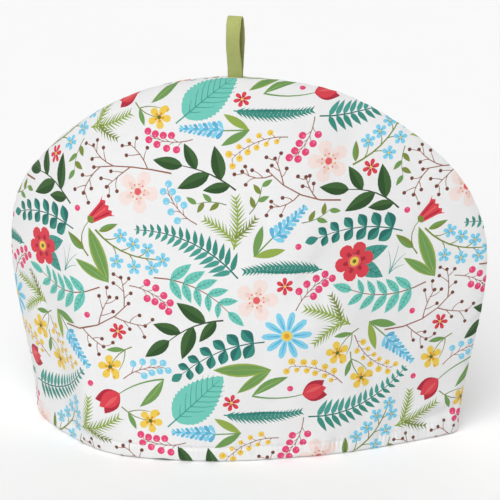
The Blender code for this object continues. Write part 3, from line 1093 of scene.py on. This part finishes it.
def tape_path():
    """(depth, height) points along the middle of the folded tape, from one end to the other."""
    rest = TAPE_THICKNESS / 2 + SEAM_GAP / 2
    foot = SEAM_HEIGHT - SEAM_PINCH
    turn = np.linspace(0, pi, 121)
    bow = -np.cos(turn) * (rest + LOOP_SLACK * LOOP_OPEN * np.sin(turn))
    tuck = np.linspace(foot - TAPE_TUCK, foot, 6)[:-1]
    across = np.concatenate((np.full(len(tuck), -rest), bow, np.full(len(tuck), rest)))
    return np.stack((across, np.concatenate((tuck, foot + LOOP_RISE * np.sin(turn), tuck[::-1]))), 1)


def tape_section():
    """The tape's section as (share of half its width, height) points: round edges with a rib along each."""
    w = np.linspace(-1, 1, 25)
    face = TAPE_THICKNESS / 2 * (0.92 - 0.45 * np.abs(w) ** 8 + 0.10 * bell(np.abs(w) - 0.82, 0.07))
    return np.concatenate((np.stack((w, face), 1), np.stack((w[::-1], -face[::-1]), 1)))


def tape_uv(mesh, points, way, section):
    """UV places of the tape's corners: along it, round it, and its two cut ends apart from that."""
    sides = len(section)
    girth = way_along(section * (TAPE_WIDTH / 2, 1))
    uv = []
    for polygon in mesh.polygons:
        places = [divmod(i, sides) for i in polygon.vertices]
        columns = [k for _, k in places]
        wraps = max(columns) - min(columns) > sides / 2
        for r, k in places:
            if len(places) > 4:
                uv.append((CAP_UV[0] + 0.1 * (r > 0) + points[r, k, 0], CAP_UV[1]))
            else:
                round_it = girth[-1] + TAPE_THICKNESS if wraps and k == 0 else girth[k]
                uv.append((0.5 + (way[r] - way[-1] / 2) / TAPE_UV_SPAN, round_it / TAPE_UV_SPAN))
    return np.array(uv)


def loop_tape(name, material):
    """The folded green tape, slightly uneven: (object, its length)."""
    path, section = tape_path(), tape_section()
    foot = SEAM_HEIGHT - SEAM_PINCH
    up = path[:, 1]
    way = way_along(path)
    ahead = unit(np.gradient(path, axis=0))
    out = np.stack((ahead[:, 1], -ahead[:, 0]), 1)
    twist = LOOP_TURN * smooth(up, foot, foot + LOOP_RISE * 0.5)
    twist = twist + LOOP_CURL * bell((up - foot) / LOOP_RISE - 0.5, 0.3)
    wide = TAPE_WIDTH / 2 * (1 + 0.012 * np.sin(way * 330) + 0.008 * np.sin(way * 791 + 1))
    s = section[None, :, 0] * wide[:, None]
    y, z = (path[:, i, None] + out[:, i, None] * section[None, :, 1] for i in range(2))
    c, sn = np.cos(twist)[:, None], np.sin(twist)[:, None]
    points = np.stack((LOOP_X + s * c - y * sn, s * sn + y * c, z), -1)
    faces = tube_faces(np.arange(s.size).reshape(s.shape))
    obj = make_object(name, points.reshape(-1, 3), faces, material)
    face_outwards(obj.data)
    lay_uv(obj.data, tape_uv(obj.data, points, way, section))
    return obj, float(way[-1])


# ---------------------------------------------------------------- materials


COTTON_THREADS, TWILL_THREADS = 1500, 170  # across the whole UV square
SLUB = ((900, 60), (60, 900))  # unevenness of warp and weft: fine across the threads and long along them
THREAD_TONE, BLOTCH_TONE = 0.06, 0.05  # how much they and soft blotches darken the cotton
BEND_LIGHT_NEAR, BEND_LIGHT_FAR = 0.03, 0.16  # painted highlight at the tape's bend: full this near to the bend and gone this far from it, as shares of the UV square
BEND_HIGHLIGHT, FOOT_SHADE, UNLIT = 1.06, 0.90, -0.22  # painted light and shade in the tape's tone: lighter at its bend, darker at its foot, and painted shade inside the loop


class Nodes:
    """Short ways to add and join the nodes of a material or a world."""

    def __init__(self, owner, shader="Principled BSDF"):
        owner.use_nodes = True
        self.owner, self.tree = owner, owner.node_tree
        self.shader = self.tree.nodes[shader]

    def join(self, node, inputs):
        """Sets inputs to values or links. An input is named, or numbered as i0, i1 and so on."""
        for key, value in inputs.items():
            key = key.replace("_", " ")
            socket = node.inputs[int(key[1:])] if key[0] == "i" and key[1:].isdigit() else node.inputs[key]
            if isinstance(value, bpy.types.NodeSocket):
                self.tree.links.new(value, socket)
            else:
                socket.default_value = value

    def add(self, kind, settings=(), **inputs):
        node = self.tree.nodes.new("ShaderNode" + kind)
        for key, value in dict(settings).items():
            setattr(node, key, value)
        self.join(node, inputs)
        return node

    def math(self, operation, a, b=0.0, c=0.0):
        return self.add("Math", {"operation": operation}, i0=a, i1=b, i2=c).outputs[0]

    def noise(self, vector, stretch=None, **inputs):
        """Noise, drawn out where stretch gives a scale for each axis."""
        if stretch:
            vector = self.add("Mapping", Vector=vector, Scale=(*stretch, 1)).outputs[0]
        return self.add("TexNoise", Vector=vector, **inputs).outputs[0]

    def grey(self, tone, blue=None):
        return self.add("CombineColor", Red=tone, Green=tone, Blue=tone if blue is None else blue).outputs[0]

    def toned(self, colour, tone):
        """The colour times a tone."""
        settings = {"data_type": "RGBA", "blend_type": "MULTIPLY"}
        return self.add("Mix", settings, i0=1.0, i6=colour, i7=self.grey(tone)).outputs[2]

    def finish(self, strength, distance, height, **inputs):
        """Joins the shader, with a bump of the height given, and returns the material."""
        bump = self.add("Bump", Strength=strength, Distance=distance, Height=height)
        self.join(self.shader, {"Normal": bump.outputs[0], **inputs})
        return self.owner


def weave(nodes, vector, count):
    """Height of a plain weave whose threads lie both ways, count of them in each unit of the vector."""
    parts = nodes.add("SeparateXYZ", Vector=vector).outputs
    warp, weft = (nodes.math("SINE", nodes.math("MULTIPLY", parts[i], 2 * pi * count)) for i in range(2))
    return nodes.math("MULTIPLY_ADD", nodes.math("MULTIPLY", warp, weft), 0.5, 0.5)


def cotton_material(name):
    """Printed plain-weave cotton: the print's corner colours, thread-to-thread variation and a fine weave."""
    n = Nodes(bpy.data.materials.new(name))
    uv = n.add("UVMap", {"uv_map": "OFBake"}).outputs[0]
    dyed = n.add("Attribute", {"attribute_name": "Print"}).outputs[0]
    threads = n.math("ADD", *(n.noise(uv, stretch, Scale=1.0, Detail=2.0) for stretch in SLUB))
    cloud = n.math("MULTIPLY_ADD", n.noise(uv, Scale=38.0, Detail=3.0), BLOTCH_TONE, 1 - BLOTCH_TONE / 2)
    tone = n.math("MULTIPLY", n.math("MULTIPLY_ADD", threads, THREAD_TONE, 1 - THREAD_TONE), cloud)
    height = n.math("ADD", weave(n, uv, COTTON_THREADS), n.math("MULTIPLY", threads, 0.8))
    return n.finish(0.22, 0.00012, height, Base_Color=n.toned(dyed, tone), Roughness=0.88, Sheen_Weight=0.12,
                    Sheen_Roughness=0.45, Specular_IOR_Level=0.25)


def thread_material(name):
    """White sewing thread, a little uneven."""
    n = Nodes(bpy.data.materials.new(name))
    twist = n.noise(n.add("NewGeometry").outputs["Position"], Scale=2500.0, Detail=2.0)
    tone = n.math("MULTIPLY_ADD", twist, 0.12, 0.80)
    colour = n.grey(tone, n.math("MULTIPLY", tone, 1.02))
    return n.finish(0.4, 0.0001, twist, Base_Color=colour, Roughness=0.7, Sheen_Weight=0.2)


def tape_material(name):
    """Green cotton tape with a fine twill, with painted light: lighter at the bend where it catches the
    light, darker towards its foot, and painted shade inside the loop.
    """
    n = Nodes(bpy.data.materials.new(name))
    uv = n.add("UVMap", {"uv_map": "OFBake"}).outputs[0]
    ribs = weave(n, n.add("Mapping", Vector=uv, Rotation=(0, 0, 0.6)).outputs[0], TWILL_THREADS)
    streaks = n.noise(uv, (12, 160), Scale=4.0, Detail=3.0)
    mixed = n.math("ADD", n.math("MULTIPLY", ribs, 0.35), n.math("MULTIPLY", streaks, 0.65))
    blotch = n.math("MULTIPLY", n.noise(uv, Scale=16.0, Detail=2.0), 0.3)
    ramp = n.add("ValToRGB", Fac=n.math("ADD", n.math("MULTIPLY", mixed, 0.7), blotch))
    for stop, position, green in zip(ramp.color_ramp.elements, (0.25, 0.75), TAPE_GREENS):
        stop.position, stop.color = position, (*linear(green), 1)
    along_it, round_it = n.add("SeparateXYZ", Vector=uv).outputs[:2]
    # painted light: the tape is lighter at its bend and darker towards its foot
    from_bend = n.math("ABSOLUTE", n.math("SUBTRACT", along_it, 0.5))
    bend_light = n.add("MapRange", Value=from_bend, From_Min=BEND_LIGHT_NEAR, From_Max=BEND_LIGHT_FAR, To_Min=BEND_HIGHLIGHT,
                  To_Max=FOOT_SHADE)
    # painted shade on the inside of the loop
    half = TAPE_WIDTH / 2 / TAPE_UV_SPAN
    inside = n.math("COMPARE", round_it, half, half)
    tone = n.math("MULTIPLY", bend_light.outputs[0], n.math("MULTIPLY_ADD", inside, UNLIT, 1.0))
    return n.finish(0.5, 0.00015, mixed, Base_Color=n.toned(ramp.outputs[0], tone), Roughness=0.8,
                    Sheen_Weight=0.15, Sheen_Roughness=0.4, Specular_IOR_Level=0.25)


def floor_material(name):
    """Pale matt floor, hardly uneven."""
    n = Nodes(bpy.data.materials.new(name))
    noise = n.noise(n.add("NewGeometry").outputs["Position"], Scale=3.0)
    tone = n.math("MULTIPLY_ADD", noise, 0.01, 0.945)
    n.join(n.shader, {"Base_Color": n.grey(tone), "Roughness": 0.9, "Specular_IOR_Level": 0.1})
    return n.owner


# ---------------------------------------------------------------- floor, light and camera


def add_floor():
    bpy.ops.mesh.primitive_plane_add(size=12, location=(0, 0, 0))
    floor = bpy.context.object
    floor.name = "floor"
    floor.data.materials.append(floor_material("pale_floor"))


def add_sun(name, azimuth, elevation, spread, strength):
    """A broad, soft studio light. Its azimuth is 0 in front of the cosy, and negative to the left."""
    a, e = radians(azimuth), radians(elevation)
    towards = Vector((sin(a) * cos(e), -cos(a) * cos(e), sin(e)))
    data = bpy.data.lights.new(name, "SUN")
    data.angle, data.energy = radians(spread), strength
    light = bpy.data.objects.new(name, data)
    light.location = towards
    light.rotation_euler = towards.to_track_quat("Z", "Y").to_euler()
    bpy.context.scene.collection.objects.link(light)


def light_room():
    """A white room that is dim ahead of the cosy and grows brighter towards the back."""
    world = bpy.data.worlds.new("studio")
    n = Nodes(world, "Background")
    direction = n.add("TexCoord").outputs["Generated"]
    back = n.add("SeparateXYZ", Vector=direction).outputs["Y"]
    glow = n.math("MAXIMUM", n.math("MULTIPLY", back, ROOM_BEHIND), ROOM_AHEAD)
    n.join(n.shader, {"Strength": glow, "Color": (1, 1, 1, 1)})
    bpy.context.scene.world = world


def add_camera():
    a, e = CAMERA_AZIMUTH, CAMERA_ELEVATION
    back = Vector((sin(a) * cos(e), -cos(a) * cos(e), sin(e)))
    data = bpy.data.cameras.new("camera")
    data.sensor_width = SENSOR
    data.lens = SENSOR * FOCAL_PIXELS / PICTURE
    data.shift_x, data.shift_y = CAMERA_SHIFT
    camera = bpy.data.objects.new("camera", data)
    camera.location = CAMERA_TARGET + back * CAMERA_DISTANCE
    camera.rotation_euler = back.to_track_quat("Z", "Y").to_euler()
    bpy.context.scene.collection.objects.link(camera)
    bpy.context.scene.camera = camera


# ---------------------------------------------------------------- the object and its stage

cotton = cotton_material("printed_cotton_cloth")
thread = thread_material("white_thread")
layout = lay_out(SEED)
Panel = namedtuple("Panel", "node front folds shift")
PANELS = (Panel("front_panel", True, FRONT_FOLDS, (0, 0)), Panel("back_panel", False, BACK_FOLDS, (90, 60)))
for panel in PANELS:
    obj, cloth, area = panel_cloth(panel, layout, cotton)
    row = stitches(panel, cloth, thread)
    for piece in (obj, row):
        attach(piece, "root")
    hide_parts(panel.node)

tape, tape_length = loop_tape("loop_tape", tape_material("green_tape"))
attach(tape, "root")
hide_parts("hanging_loop")

add_floor()
add_sun("key", azimuth=-10, elevation=45, spread=60, strength=3.0)
light_room()
bpy.context.scene.view_settings.view_transform = "Standard"
add_camera()
